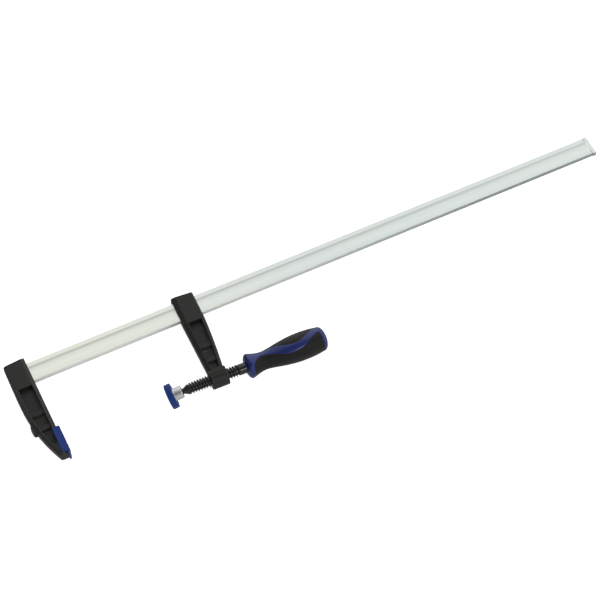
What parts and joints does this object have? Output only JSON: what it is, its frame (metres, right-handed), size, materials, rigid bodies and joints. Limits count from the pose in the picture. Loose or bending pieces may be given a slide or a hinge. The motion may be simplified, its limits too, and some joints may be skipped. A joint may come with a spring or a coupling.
{
  "type": "f clamp",
  "caption": "Bar clamp with a fixed jaw, a sliding arm, a screw with a two-tone handle and a swivel pad, for pressing wooden parts together.",
  "frame": {"origin": "centre of the fixed jaw's clamping face, on the plastic cap", "axes": "+X along the bar from the fixed jaw to the free end, +Z the normal of the bar's wide face, jaws reaching from the bar toward -Y"},
  "size_m": [0.7525, 0.1362, 0.0327],
  "materials": {
    "zinc_bar": "drawn steel, pale zinc plated, satin",
    "black_iron": "cast, black powder coated, satin",
    "blue_cap": "moulded royal blue plastic, satin",
    "black_oxide_steel": "rolled thread, black oxide, oiled",
    "spring_steel": "plain spring steel",
    "bright_zinc": "turned, bright zinc plated",
    "blue_handle": "moulded dark blue plastic, semi gloss",
    "soft_grip": "black soft-touch elastomer, fine matt"
  },
  "bodies": {
    "frame": {"bar": "zinc_bar", "fixed_jaw": "black_iron", "jaw_cap": "blue_cap"},
    "arm": {"sliding_arm": "black_iron"},
    "swivel_ring": {"ball_ring": "spring_steel"},
    "screw": {"spindle": "black_oxide_steel", "handle_core": "blue_handle", "grip_panel_1": "soft_grip", "grip_panel_2": "soft_grip"},
    "pad": {"pad_socket": "bright_zinc", "pad_cap": "blue_cap"}
  },
  "joints": [
    {"name": "arm_slide", "type": "slide", "parent": "frame", "child": "arm", "axis": [1, 0, 0], "range_m": [-0.105, 0.516]},
    {"name": "screw_feed", "type": "slide", "parent": "arm", "child": "swivel_ring", "axis": [0.9994, -0.0349, 0], "range_m": [-0.01099, 0.02799]},
    {"name": "screw_turn", "type": "hinge", "parent": "swivel_ring", "child": "screw", "pos_m": [0.1843, 0.00006, 0], "axis": [0.9994, -0.0349, 0], "range_deg": [-1218, 3102]},
    {"name": "pad_tilt", "type": "hinge", "parent": "swivel_ring", "child": "pad", "pos_m": [0.13393, 0.00182, 0], "axis": [0.0343, 0.981, 0.1908], "range_deg": [-0.9, 28.1]}
  ],
  "couplings": [
    {"joint": "screw_turn", "follows": "screw_feed", "rad_per_m": 1933.3}
  ]
}
